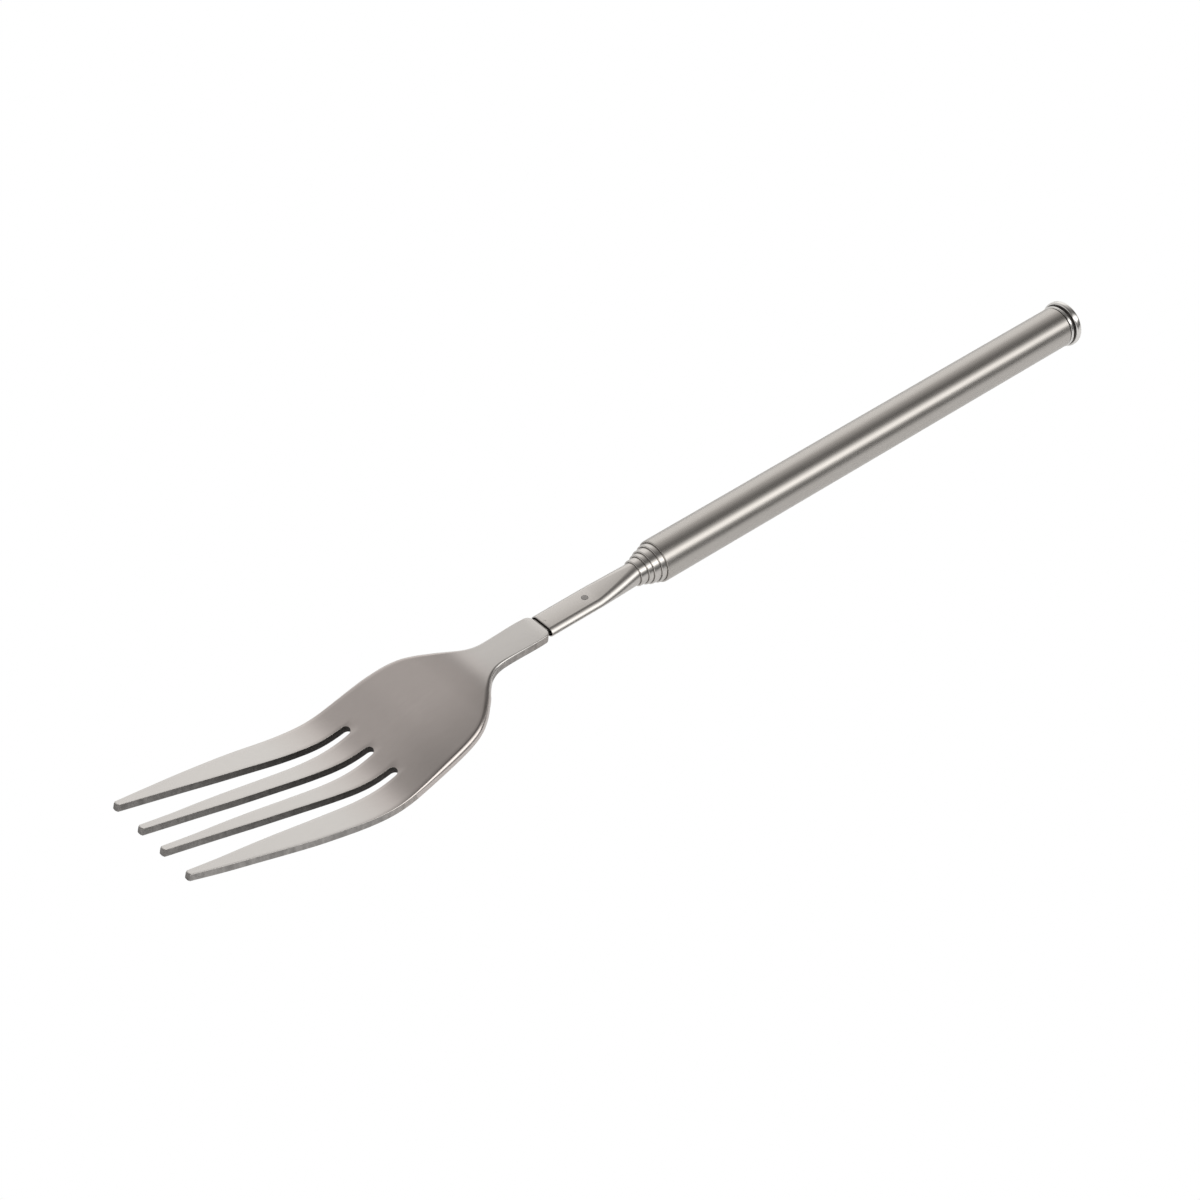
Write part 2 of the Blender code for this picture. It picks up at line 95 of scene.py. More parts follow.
STEM_ROUND_END = 5.2
STEM_FLAT_START = 15.0
STEM_TAPER_POWER = 1.2
STEM_SIDE_ROUND = 0.9
STEM_SIDE_BEVEL = 0.4
STEM_TIP = 26.7
STEM_RIM = 0.07                # rounding of the stem's front end
STEM_FLAT_HALF_HEIGHT = 1.05
DIMPLE_X = 26.15
DIMPLE_RADIUS = 0.24
DIMPLE_DEPTH = 0.07
PIN_X = 16.7
PIN_RADIUS = 0.6
PIN_DOME = 0.05
PIN_PLAY = 0.05
BUSH_PLAY = 0.03               # to the tube around it
BUSH_SEAT = 0.02               # to the tube it is pressed on


def node_x(node):
    """A CAD node's lowest and highest x, in millimetres."""
    low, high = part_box(node)
    return low[0] / MM, high[0] / MM


LIP_X = node_x("handle_tube")[0]


def smooth_curve(points, x):
    """Cubic through the points, with the slope of the chord between the neighbours."""
    xs = [p[0] for p in points]
    ys = [p[1] for p in points]
    last = len(points) - 1
    k = 0
    while k < last - 1 and x > xs[k + 1]:
        k += 1

    def slope(i):
        low = max(i - 1, 0)
        high = min(i + 1, last)
        return (ys[high] - ys[low]) / (xs[high] - xs[low])

    span = xs[k + 1] - xs[k]
    t = min(max((x - xs[k]) / span, 0.0), 1.0)
    blend = t * t * (3.0 - 2.0 * t)
    start = span * slope(k) * t * (1.0 - t) ** 2
    end = span * slope(k + 1) * t * t * (1.0 - t)
    return ys[k] * (1.0 - blend) + ys[k + 1] * blend + start - end


def spread(start, end, count):
    """count + 1 evenly spaced values."""
    return [start + (end - start) * i / count for i in range(count + 1)]


# ---- mesh helpers -------------------------------------------------------------------
def add_piece(name, shape, material, body, replaced, sharp=40.0):
    """Finish a bmesh as a smooth-shaded piece that rides on a body."""
    bmesh.ops.recalc_face_normals(shape, faces=shape.faces)
    mesh = bpy.data.meshes.new(name)
    shape.to_mesh(mesh)
    shape.free()
    mesh.shade_smooth()
    mesh.set_sharp_from_angle(angle=math.radians(sharp))
    for one in material if isinstance(material, tuple) else (material,):
        mesh.materials.append(one)
    piece = bpy.data.objects.new(name, mesh)
    bpy.context.scene.collection.objects.link(piece)
    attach(piece, body)
    if replaced:
        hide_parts(replaced)
    return piece


def bridge(shape, ring_a, ring_b, closed=True, material_index=0):
    """Join two rows of vertices by a strip of faces."""
    count = len(ring_a)
    for i in range(count if closed else count - 1):
        j = (i + 1) % count
        face = shape.faces.new((ring_a[i], ring_a[j], ring_b[j], ring_b[i]))
        face.material_index = material_index


def lathe(profile, segments=160, closed=True, shaded=()):
    """Turn a profile of (x, radius), in millimetres, about the tube axis.

    A closed profile makes a ring; an open one starts and ends on the axis.  The
    stretches of the profile whose numbers are in shaded take the second material.
    """
    shape = bmesh.new()
    rings = []
    for x, radius in profile:
        if radius == 0.0:
            rings.append([shape.verts.new((x * MM, 0.0, 0.0))])
            continue
        ring = []
        for i in range(segments):
            angle = 2.0 * math.pi * i / segments
            y = radius * math.cos(angle)
            z = radius * math.sin(angle)
            ring.append(shape.verts.new((x * MM, y * MM, z * MM)))
        rings.append(ring)
    pairs = list(zip(rings, rings[1:]))
    if closed:
        pairs.append((rings[-1], rings[0]))
    for number, (a, b) in enumerate(pairs):
        if len(a) == 1 or len(b) == 1:
            tip, ring = (a[0], b) if len(a) == 1 else (b[0], a)
            for i in range(segments):
                shape.faces.new((tip, ring[i], ring[(i + 1) % segments]))
        else:
            bridge(shape, a, b, material_index=1 if number in shaded else 0)
    return shape


def arc(centre_x, centre_r, size_x, size_r, start, end, count):
    """Profile points on an ellipse; angle 0 points to +X and 90 away from the axis."""
    points = []
    for degrees in spread(start, end, count):
        angle = math.radians(degrees)
        points.append((centre_x + size_x * math.cos(angle),
                       centre_r + size_r * math.sin(angle)))
    return points


# ---- materials ----------------------------------------------------------------------
FLAT_FACING = (0.82, 0.93)      # normal's upward part, edge rounding to flat: where the painted shade fades in


class Nodes:
    """A short way to write a material's nodes and links."""

    def __init__(self, name):
        self.material = bpy.data.materials.new(name)
        self.material.use_nodes = True
        self.tree = self.material.node_tree
        self.shader = self.tree.nodes["Principled BSDF"]

    def add(self, kind, inputs=None, **settings):
        """A new node, with its settings, and its inputs linked or set."""
        node = self.tree.nodes.new(kind)
        for key, value in settings.items():
            setattr(node, key, value)
        for key, value in (inputs or {}).items():
            self.feed(node.inputs[key], value)
        return node

    def feed(self, socket, value):
        if isinstance(value, bpy.types.NodeSocket):
            self.tree.links.new(value, socket)
        else:
            socket.default_value = value

    def mapped_noise(self, scale, stretch, detail, seed=0.0):
        """Noise over the piece's own coordinates, stretched by a factor for each axis."""
        coordinates = self.add("ShaderNodeTexCoord")
        mapping = self.add("ShaderNodeMapping",
                           {"Vector": coordinates.outputs["Object"], "Scale": stretch,
                            "Location": (seed, seed * 0.7, seed * 1.3)})
        return self.add("ShaderNodeTexNoise",
                        {"Vector": mapping.outputs["Vector"], "Scale": scale,
                         "Detail": detail, "Roughness": 0.6}).outputs["Fac"]

    def between(self, factor, low, high):
        """Map a 0.3 to 0.7 noise to the range low to high."""
        return self.add("ShaderNodeMapRange",
                        {"Value": factor, "From Min": 0.3, "From Max": 0.7,
                         "To Min": low, "To Max": high}).outputs["Result"]

    def tint(self, factor, low, high):
        """A colour between low and high."""
        mix = self.add("ShaderNodeMix", {"Factor": factor}, data_type="RGBA")
        mix.inputs[6].default_value = (*low, 1.0)
        mix.inputs[7].default_value = (*high, 1.0)
        return mix.outputs[2]

    def paint_side_shade(self, color, across, along, parts):
        """Paint shade on a flat's colour: darker smoothly across y, by a part that changes
        along x.
        """
        coordinates = self.add("ShaderNodeTexCoord")
        axes = self.add("ShaderNodeSeparateXYZ", {"Vector": coordinates.outputs["Object"]})
        side = self.add("ShaderNodeMapRange",
                        {"Value": axes.outputs["Y"], "From Min": across[0] * MM,
                         "From Max": across[1] * MM}, interpolation_type="SMOOTHSTEP")
        part = self.add("ShaderNodeMapRange",
                        {"Value": axes.outputs["X"], "From Min": along[0] * MM,
                         "From Max": along[1] * MM, "To Min": parts[0],
                         "To Max": parts[1]}, interpolation_type="SMOOTHSTEP")
        facing = self.add("ShaderNodeSeparateXYZ", {"Vector": coordinates.outputs["Normal"]})
        flat = self.add("ShaderNodeMapRange",
                        {"Value": facing.outputs["Z"], "From Min": FLAT_FACING[0],
                         "From Max": FLAT_FACING[1]}, interpolation_type="SMOOTHSTEP")
        loss = self.add("ShaderNodeMath", {0: side.outputs["Result"],
                                           1: part.outputs["Result"]},
                        operation="MULTIPLY").outputs[0]
        loss = self.add("ShaderNodeMath", {0: loss, 1: flat.outputs["Result"]},
                        operation="MULTIPLY").outputs[0]
        keep = self.add("ShaderNodeMath", {0: 1.0, 1: loss},
                        operation="SUBTRACT").outputs[0]
        return self.add("ShaderNodeVectorMath", {0: color, 1: keep},
                        operation="MULTIPLY").outputs[0]

    def tinted(self, color, stops):
        """Tint a colour along x by stops of (x, tint), from low x to high x."""
        coordinates = self.add("ShaderNodeTexCoord")
        axes = self.add("ShaderNodeSeparateXYZ", {"Vector": coordinates.outputs["Object"]})
        low = stops[0][0]
        high = stops[-1][0]
        place = self.add("ShaderNodeMapRange",
                         {"Value": axes.outputs["X"], "From Min": low * MM,
                          "From Max": high * MM})
        ramp = self.add("ShaderNodeValToRGB", {"Fac": place.outputs["Result"]})
        elements = ramp.color_ramp.elements
        elements.remove(elements[0])
        for i, (x, tint) in enumerate(stops):
            position = (x - low) / (high - low)
            stop = elements[0] if i == 0 else elements.new(position)
            stop.position = position
            stop.color = (*tint, 1.0)
        return self.add("ShaderNodeVectorMath", {0: color, 1: ramp.outputs["Color"]},
                        operation="MULTIPLY").outputs[0]

    def bump(self, height, strength, distance_mm, under=None):
        inputs = {"Height": height, "Strength": strength, "Distance": distance_mm * MM}
        if under:
            inputs["Normal"] = under
        return self.add("ShaderNodeBump", inputs).outputs["Normal"]


def metal(name, dark, light, rough_low, rough_high, grain, grain_scale, bump_mm,
          shade_across=None, tints=None):
    """Bare metal with a directional grain, faint speckle and fine scratches.

    A shade across the sheet, if given, is painted shade on its flats, darker towards one
    side: ((y, y), (x, x), (part, part)).
    tints are (x, tint) stops along the sheet.
    """
    nodes = Nodes(name)
    streaks = nodes.mapped_noise(grain_scale, grain, 4.0)
    speckle = nodes.mapped_noise(1500.0, (0.4, 1.0, 1.0), 3.0, seed=3.1)
    scratches = nodes.mapped_noise(grain_scale * 3.0, grain, 2.0, seed=7.7)
    mixed = nodes.add("ShaderNodeMix", {"Factor": 0.4, "A": streaks, "B": speckle},
                      data_type="FLOAT").outputs[0]
    color = nodes.tint(nodes.between(mixed, 0.0, 1.0), dark, light)
    # Painted shade: the flats darken towards one side of the sheet.
    if shade_across:
        color = nodes.paint_side_shade(color, *shade_across)
    if tints:
        color = nodes.tinted(color, tints)
    nodes.feed(nodes.shader.inputs["Base Color"], color)
    nodes.feed(nodes.shader.inputs["Roughness"],
               nodes.between(streaks, rough_low, rough_high))
    coarse = nodes.bump(streaks, 0.4, bump_mm)
    nodes.feed(nodes.shader.inputs["Normal"],
               nodes.bump(scratches, 0.3, bump_mm * 0.5, coarse))
    nodes.shader.inputs["Metallic"].default_value = 1.0
    return nodes.material


def dull_edge_or_painted_shade(name, near, far, near_x, far_x):
    """Cut edge of the sheet: rough and dull, from one grey to another along x; set dark, its
    grey is painted shade.
    """
    nodes = Nodes(name)
    coordinates = nodes.add("ShaderNodeTexCoord")
    axes = nodes.add("ShaderNodeSeparateXYZ", {"Vector": coordinates.outputs["Object"]})
    along = nodes.add("ShaderNodeMapRange",
                      {"Value": axes.outputs["X"], "From Min": near_x * MM,
                       "From Max": far_x * MM}).outputs["Result"]
    grey = nodes.tint(along, (near, near * 0.94, near * 0.9),
                      (far, far * 0.97, far * 0.95))
    breaks = nodes.between(nodes.mapped_noise(900.0, (1.0, 1.0, 0.3), 4.0), 0.75, 1.2)
    nodes.feed(nodes.shader.inputs["Base Color"],
               nodes.add("ShaderNodeVectorMath", {0: grey, 1: breaks},
                         operation="MULTIPLY").outputs[0])
    nodes.feed(nodes.shader.inputs["Roughness"],
               nodes.between(nodes.mapped_noise(1500.0, (0.3, 0.3, 1.0), 3.0), 0.45, 0.6))
    nodes.feed(nodes.shader.inputs["Normal"],
               nodes.bump(nodes.mapped_noise(2200.0, (1.0, 1.0, 0.2), 3.0), 0.4, 0.01))
    nodes.shader.inputs["Metallic"].default_value = 1.0
    return nodes.material


# Painted shade: the sheet's flats are darker towards negative y, fading out 60 to 73 mm
# forward of the lip; the bowl is also a little rosier.
SHEET_PAINTED_SHADE = ((2.0, -13.0), (LIP_X - 60.0, LIP_X - 73.0), (0.26, 0.02))
PLAIN = (1.0, 1.0, 1.0)
ROSY = (1.0, 0.95, 0.94)
SHEET_TINTS = ((LIP_X - 80.0, PLAIN), (LIP_X - 66.0, ROSY), (LIP_X - 46.0, ROSY),
               (LIP_X - 40.0, PLAIN))
# Scale of the grain's noise on each axis, low where the grain runs: along X, around it.
ALONG = (0.04, 1.0, 1.0)
AROUND = (1.0, 0.05, 0.05)
BRUSHED = metal("brushed_tube_steel", (0.488, 0.469, 0.449), (0.522, 0.503, 0.483),
                0.24, 0.29, ALONG, 2600.0, 0.001)
DRAWN = metal("drawn_tube_steel", (0.59, 0.572, 0.555), (0.63, 0.612, 0.595),
              0.16, 0.2, ALONG, 2600.0, 0.001)
SATIN = metal("satin_sheet_steel", (0.583, 0.563, 0.546), (0.608, 0.588, 0.571),
              0.22, 0.26, ALONG, 1400.0, 0.0008)
SHEET_STEEL = metal("polished_sheet_steel_painted_shade", (0.575, 0.561, 0.55), (0.6, 0.586, 0.575),
                    0.22, 0.26, ALONG, 1400.0, 0.0008, SHEET_PAINTED_SHADE, SHEET_TINTS)
POLISHED = metal("polished_plug_steel", (0.75, 0.742, 0.73), (0.79, 0.782, 0.77),
                 0.05, 0.09, AROUND, 1800.0, 0.0006)
BRASS = metal("turned_brass", (0.66, 0.48, 0.22), (0.76, 0.60, 0.32),
              0.24, 0.34, AROUND, 2200.0, 0.004)
BRONZE = metal("spring_bronze", (0.58, 0.34, 0.18), (0.70, 0.46, 0.28),
               0.28, 0.38, ALONG, 2200.0, 0.004)
# Rough cut edge with painted shade: near black at the slots' roots and the neck's lower
# edge, lighter towards the tines' tips.
ROUGH_EDGE_PAINTED_SHADE = dull_edge_or_painted_shade("rough_edge_painted_shade_steel", 0.06, 0.27, LIP_X - 76.0, LIP_X - 106.0)
TRIMMED = dull_edge_or_painted_shade("trimmed_edge_steel", 0.54, 0.38, LIP_X - 66.0, LIP_X - 74.0)
NECK_EDGE = dull_edge_or_painted_shade("neck_edge_steel", 0.44, 0.40, LIP_X - 27.0, LIP_X - 42.0)
# Painted shade: an even dark grey for the plug's groove and the gaps beside its bead.
GROOVE_PAINTED_SHADE = dull_edge_or_painted_shade("groove_painted_shade_steel", 0.17, 0.17, 0.0, -3.0)
PEENED = dull_edge_or_painted_shade("peened_pin_steel", 0.4, 0.4, 0.0, -3.0)


# ---- turned pieces ------------------------------------------------------------------
def tube_shape(stage, node):
    """One tube of the nest, with a rounded, slightly rolled front lip."""
    lip, tail = node_x(node)
    radius = HANDLE_RADIUS - stage * RADIUS_STEP
    bore = radius - WALL
    lip_bore = radius - RADIUS_STEP + LIP_CLEARANCE
    roll = 0.2
    edge = 0.06
    profile = [(tail, radius - edge), (tail - edge, radius)]
    profile += [(x, radius) for x in spread(tail - 2.0, lip + 3.0, 12)]
    profile += [(lip + 0.9, radius), (lip + 0.55, radius - 0.01)]
    profile += arc(lip + roll, radius - 0.02 - roll, roll, roll, 90.0, 180.0, 8)
    profile += arc(lip + edge, lip_bore + edge, edge, edge, 180.0, 270.0, 4)
    profile += [(lip + 0.36, lip_bore), (lip + 0.6, bore), (tail, bore)]
    return lathe(profile)


def plug_shape():
    """Spigot, small bead, deep groove, rounded flange and a faintly crowned face."""
    length = -node_x("end_plug")[0]
    spigot = HANDLE_RADIUS - WALL - 0.05
    profile = [(0.0, 0.0), (0.0, 1.5), (-0.01, 2.8), (-0.02, 3.7)]
    profile += arc(-0.55, 4.05, 0.55, 0.68, 4.0, 88.0, 12)
    profile += arc(-1.0, 4.35, 0.42, 0.4, 92.0, 176.0, 12)
    groove = len(profile) - 2
    profile += [(-1.44, 4.1), (-1.47, 3.85), (-1.52, 3.81), (-1.82, 3.81), (-1.87, 3.85)]
    # The flange's back face, the groove and, below, the gaps beside the bead take the
    # painted shade.
    shaded = set(range(groove, len(profile) - 1))
    profile += arc(-2.24, 4.05, 0.32, 0.29, 8.0, 172.0, 14)
    shaded.add(len(profile) - 1)
    profile += [(-2.58, 3.95), (-2.72, 3.95), (-2.72, spigot), (0.4 - length, spigot)]
    profile += [(-length, spigot - 0.4), (-length, 0.0)]
    shaded.add(len(profile) - 6)
    return lathe(profile, closed=False, shaded=shaded)


def bush_shape(node, outer, inner):
    """A guide ring with a shallow groove around its middle."""
    front, back = node_x(node)
    middle = (front + back) / 2.0
    edge = 0.03
    profile = [(back, inner), (back, outer - edge), (back - edge, outer),
               (middle + 0.2, outer), (middle + 0.14, outer - edge),
               (middle - 0.14, outer - edge), (middle - 0.2, outer),
               (front + edge, outer), (front, outer - edge), (front, inner)]
    return lathe(profile, segments=96)


# ---- stem ---------------------------------------------------------------------------
def pressed_half_height(forward):
    """Half the stem's height, from a round tube's radius down to the pressed flat's."""
    t = (forward - STEM_ROUND_END) / (STEM_FLAT_START - STEM_ROUND_END)
    t = min(max(t, 0.0), 1.0)
    radius = HANDLE_RADIUS - STAGES * RADIUS_STEP
    blend = 1.0 - (1.0 - t) ** STEM_TAPER_POWER
    return radius + (STEM_FLAT_HALF_HEIGHT - radius) * blend


def stem_ring(shape, forward, wall, segments=160):
    """A round tube's ring pressed to the half height there, its girth kept.

    The section is two flats joined at each side by a half-ellipse, whose quarters
    straighten towards bevels as the tube is pressed.
    """
    radius = HANDLE_RADIUS - STAGES * RADIUS_STEP
    height = pressed_half_height(forward)
    pressed = radius - height
    side = radius - STEM_SIDE_ROUND * pressed
    power = 1.0 + STEM_SIDE_BEVEL * pressed / (radius - STEM_FLAT_HALF_HEIGHT)
    count = segments // 4
    quarter = []
    for i in range(count):
        angle = math.pi / 2.0 * (i + 0.5) / count
        quarter.append((math.cos(angle) ** power, math.sin(angle) ** power))
    arc_points = [(1.0, 0.0)] + quarter + [(0.0, 1.0)]
    length = sum(math.hypot((b[0] - a[0]) * side, (b[1] - a[1]) * height)
                 for a, b in zip(arc_points, arc_points[1:]))
    flat = math.pi / 2.0 * radius - length
    first = [(flat + (side - wall) * y, (height - wall) * z) for y, z in quarter]
    upper = first + [(-y, z) for y, z in reversed(first)]
    x = (LIP_X - forward) * MM
    return [shape.verts.new((x, y * MM, z * MM))
            for y, z in upper + [(-y, -z) for y, z in upper]]


def stem_shape():
    """The stem tube, outer and inner skin, from its tail to its pressed front end."""
    back = LIP_X - node_x("stem_tube")[1]
    stations = [back, -20.0, -4.0] + spread(0.0, STEM_ROUND_END, 8)
    stations += spread(STEM_ROUND_END, STEM_FLAT_START, 36)[1:]
    stations += spread(STEM_FLAT_START, STEM_TIP - STEM_RIM, 16)[1:]
    shape = bmesh.new()
    rings = [stem_ring(shape, forward, 0.0) for forward in stations]
    for degrees in (30.0, 60.0, 90.0):
        angle = math.radians(degrees)
        forward = STEM_TIP - STEM_RIM + STEM_RIM * math.sin(angle)
        rings.append(stem_ring(shape, forward, STEM_RIM * (1.0 - math.cos(angle))))
    rings.append(stem_ring(shape, STEM_TIP, WALL))
    rings += [stem_ring(shape, forward, WALL) for forward in reversed(stations)]
    for a, b in zip(rings, rings[1:] + rings[:1]):
        bridge(shape, a, b)
    return shape


# ---- fork head ----------------------------------------------------------------------
def slope_of(points, x):
    step = 0.05
    low = smooth_curve(points, x - step)
    high = smooth_curve(points, x + step)
    return (high - low) / (2.0 * step)


def edge_point(points, forward, side):
    """A point on an edge of the sheet, and its outward direction in the sheet's plan.

    side is +1 where the metal ends towards larger y and -1 towards smaller y.
    """
    slope = slope_of(points, forward)
    length = math.hypot(1.0, slope)
    normal = (-side * slope / length, side / length)
    return (forward, smooth_curve(points, forward)), normal


def thickness(forward):
    """Thickness of the sheet at a distance in front of the handle's lip."""
    return smooth_curve(THICKNESS, forward)


def on_sheet(forward, y, depth):
    """A point at a depth below the sheet's upper face, in the row frame."""
    slope = slope_of(SIDE_PROFILE, forward)
    length = math.hypot(1.0, slope)
    u = forward + depth * slope / length
    z = smooth_curve(SIDE_PROFILE, forward) - depth / length
    return ((LIP_X - u) * MM, y * MM, z * MM)


SLOT_RADIUS = (OUTER_SLOT_OUT[0][1] - OUTER_SLOT_IN[0][1]) / 2.0
SLOT_CENTRE = (OUTER_SLOT_OUT[0][1] + OUTER_SLOT_IN[0][1]) / 2.0
MIDDLE_RADIUS = MIDDLE_SLOT[0][1]
MIDDLE_STEPS = 6
INNER_STEPS = 6
SLOT_STEPS = 12
OUTER_STEPS = 8
COLUMNS = MIDDLE_STEPS + INNER_STEPS + SLOT_STEPS + OUTER_STEPS
SHOULDER_STRAIGHT = 22         # columns on the straight back edge of the tongue
SHOULDER_CORNER = 1.4
TIP_CORNER = 0.36
BOWL_START = 28.9
BOWL_END = 64.2
BOWL_ROWS = 66
TINE_ROWS = 44


def root_row(rounds):
    """Outline points, outward directions and edge rounding along the slots' ends."""
    row = []
    for angle in spread(0.0, math.pi / 2.0, MIDDLE_STEPS):
        point = (ROOT_X - MIDDLE_RADIUS * math.cos(angle), MIDDLE_RADIUS * math.sin(angle))
        row.append((point, (math.cos(angle), -math.sin(angle)), SLOT_ROUND))
    low = MIDDLE_RADIUS + SLOT_ROUND
    high = SLOT_CENTRE - SLOT_RADIUS - SLOT_ROUND
    for y in spread(low, high, INNER_STEPS)[1:-1]:
        row.append(((ROOT_X, y), (0.0, 0.0), 0.0))
    for angle in spread(0.0, math.pi, SLOT_STEPS):
        point = (ROOT_X - SLOT_RADIUS * math.sin(angle),
                 SLOT_CENTRE - SLOT_RADIUS * math.cos(angle))
        row.append((point, (math.sin(angle), math.cos(angle)), SLOT_ROUND))
    point, normal = edge_point(OUTER_EDGE, ROOT_X, 1)
    rounding = smooth_curve(rounds, ROOT_X)
    low = SLOT_CENTRE + SLOT_RADIUS + SLOT_ROUND
    for y in spread(low, point[1] - rounding, OUTER_STEPS)[1:-1]:
        row.append(((ROOT_X, y), (0.0, 0.0), 0.0))
    row.append((point, normal, rounding))
    return row


def tine_row(forward, inner_edge, outer_edge, steps, outer_rounding):
    """One row across a tine, from its edge nearer the centre line outwards."""
    low, low_normal = edge_point(inner_edge, forward, -1)
    high, high_normal = edge_point(outer_edge, forward, 1)
    row = [(low, low_normal, SLOT_ROUND)]
    start = low[1] + SLOT_ROUND
    end = high[1] - outer_rounding
    row += [((forward, y), (0.0, 0.0), 0.0) for y in spread(start, end, steps)[1:-1]]
    row.append((high, high_normal, outer_rounding))
    return row


def tip_row(inner_edge, outer_edge, steps):
    """The end of a tine, round at both corners."""
    low = smooth_curve(inner_edge, TIP_X)
    high = smooth_curve(outer_edge, TIP_X)
    turn = 2 if steps <= 6 else 3
    row = []
    centre = TIP_X - TIP_CORNER
    for angle in spread(0.0, math.pi / 2.0, turn + 1)[1:]:
        point = (centre + TIP_CORNER * math.sin(angle),
                 low + TIP_CORNER * (1.0 - math.cos(angle)))
        row.append((point, (math.sin(angle), -math.cos(angle)), TIP_ROUND))
    inner = spread(low + TIP_CORNER, high - TIP_CORNER, steps - 2 * turn)
    for y in inner[1:-1]:
        row.append(((TIP_X, y), (1.0, 0.0), TIP_ROUND))
    for angle in spread(math.pi / 2.0, 0.0, turn + 1)[:-1]:
        point = (centre + TIP_CORNER * math.sin(angle),
                 high - TIP_CORNER * (1.0 - math.cos(angle)))
        row.append((point, (math.sin(angle), math.cos(angle)), TIP_ROUND))
    return row


def shoulder_row(rounds):
    """The back edge of the tongue and its round corner."""
    rounding = smooth_curve(rounds, TONGUE_SHOULDER)
    width = smooth_curve(OUTER_EDGE, TONGUE_SHOULDER + SHOULDER_CORNER)
    straight = width - SHOULDER_CORNER
    row = [((TONGUE_SHOULDER, y), (-1.0, 0.0), rounding)
           for y in spread(0.0, straight, SHOULDER_STRAIGHT)]
    for angle in spread(0.0, math.pi / 2.0, COLUMNS - SHOULDER_STRAIGHT)[1:]:
        point = (TONGUE_SHOULDER + SHOULDER_CORNER * (1.0 - math.cos(angle)),
                 straight + SHOULDER_CORNER * math.sin(angle))
        row.append((point, (-math.cos(angle), math.sin(angle)), rounding))
    return row


def inset(entry):
    """Where the flat of the sheet gives way to the rounding of its edge."""
    (u, y), (nu, ny), rounding = entry
    return u - rounding * nu, y - rounding * ny


def bowl_row(forward, root_fractions, rounds):
    """One row from the centre line to the outer edge, behind the slots."""
    point, normal = edge_point(OUTER_EDGE, forward, 1)
    last = (point, normal, smooth_curve(rounds, forward))
    end_u, end_y = inset(last)
    start = TONGUE_SHOULDER + SHOULDER_CORNER
    t = (forward - start) / (ROOT_X - start)
    row = []
    for j in range(COLUMNS):
        fraction = (1.0 - t) * j / COLUMNS + t * root_fractions[j]
        place = (forward + fraction * (end_u - forward), fraction * end_y)
        row.append((place, (0.0, 0.0), 0.0))
    return row + [last]


def head_rows(rounds):
    """All rows of the half sheet: the bowl's, the inner tine's and the outer tine's."""
    root = root_row(rounds)
    root_end = inset(root[-1])[1]
    fractions = [inset(entry)[1] / root_end for entry in root]
    bowl = [shoulder_row(rounds)]
    bowl += [bowl_row(u, fractions, rounds)
             for u in spread(BOWL_START, BOWL_END, BOWL_ROWS)]
    bowl.append(root)
    split = MIDDLE_STEPS + INNER_STEPS
    inner = [root[MIDDLE_STEPS:split + 1]]
    outer = [root[-OUTER_STEPS - 1:]]
    for u in spread(ROOT_X, TIP_X - TIP_CORNER, TINE_ROWS)[1:]:
        rounding = smooth_curve(rounds, u)
        inner.append(tine_row(u, MIDDLE_SLOT, OUTER_SLOT_IN, INNER_STEPS, SLOT_ROUND))
        outer.append(tine_row(u, OUTER_SLOT_OUT, OUTER_EDGE, OUTER_STEPS, rounding))
    inner.append(tip_row(MIDDLE_SLOT, OUTER_SLOT_IN, INNER_STEPS))
    outer.append(tip_row(OUTER_SLOT_OUT, OUTER_EDGE, OUTER_STEPS))
    return bowl, inner, outer


def around_outline(bowl, inner, outer):
    """Items of the rows that lie on the outline, in order from back to middle slot."""
    root = bowl[-1]
    split = MIDDLE_STEPS + INNER_STEPS
    chain = list(bowl[0])
    chain += [row[-1] for row in bowl[1:]]
    chain += [row[-1] for row in outer[1:-1]]
    chain += list(reversed(outer[-1]))
    chain += [row[0] for row in reversed(outer[1:-1])]
    chain += list(reversed(root[split:split + SLOT_STEPS + 1]))
    chain += [row[-1] for row in inner[1:-1]]
    chain += list(reversed(inner[-1]))
    chain += [row[0] for row in reversed(inner[1:-1])]
    chain += list(reversed(root[:MIDDLE_STEPS + 1]))
    return chain


TANG_SHARE = 0.8               # of the straight part of the edge that the tang takes
ROUND_STEPS = 10
ROUND_POWER = 1.35             # 1 is a circular rounding, above 1 is nearer a chamfer
NECK_END = 42.0                # the edge behind this is left as stamped
TRIMMED_START = 66.0           # the outside edge in front of this is trimmed
# The head's material slots, after the sheet's own.
SHADE_EDGE_SLOT = 1
TRIMMED_SLOT = 2
NECK_SLOT = 3


def edge_profile(top, under, thick):
    """(inset, depth) down the edge of the sheet, between its two faces."""
    above = []
    below = []
    for angle in spread(0.0, math.pi / 2.0, ROUND_STEPS)[1:]:
        side = 1.0 - math.sin(angle) ** ROUND_POWER
        down = 1.0 - max(math.cos(angle), 0.0) ** ROUND_POWER
        above.append((top * side, top * down))
        below.append((under * side, thick - under * down))
    tang = (0.0, top + TANG_SHARE * (thick - top - under))
    return above + [tang] + below[::-1]


def face_grid(shape, rows, lower):
    """The upper or lower face of half the sheet; gives back its outline's vertices."""
    made = []
    for part in rows:
        grid = []
        for row in part:
            places = [inset(entry) for entry in row]
            grid.append([shape.verts.new(on_sheet(u, y, thickness(u) if lower else 0.0))
                         for u, y in places])
        made.append(grid)
    bowl, inner, outer = made
    for part, start in ((inner, MIDDLE_STEPS), (outer, COLUMNS - OUTER_STEPS)):
        for i, spare in enumerate(part[0]):
            shape.verts.remove(spare)
            part[0][i] = bowl[-1][start + i]
    for part in made:
        for a, b in zip(part, part[1:]):
            bridge(shape, a, b, closed=False)
    return around_outline(*made)


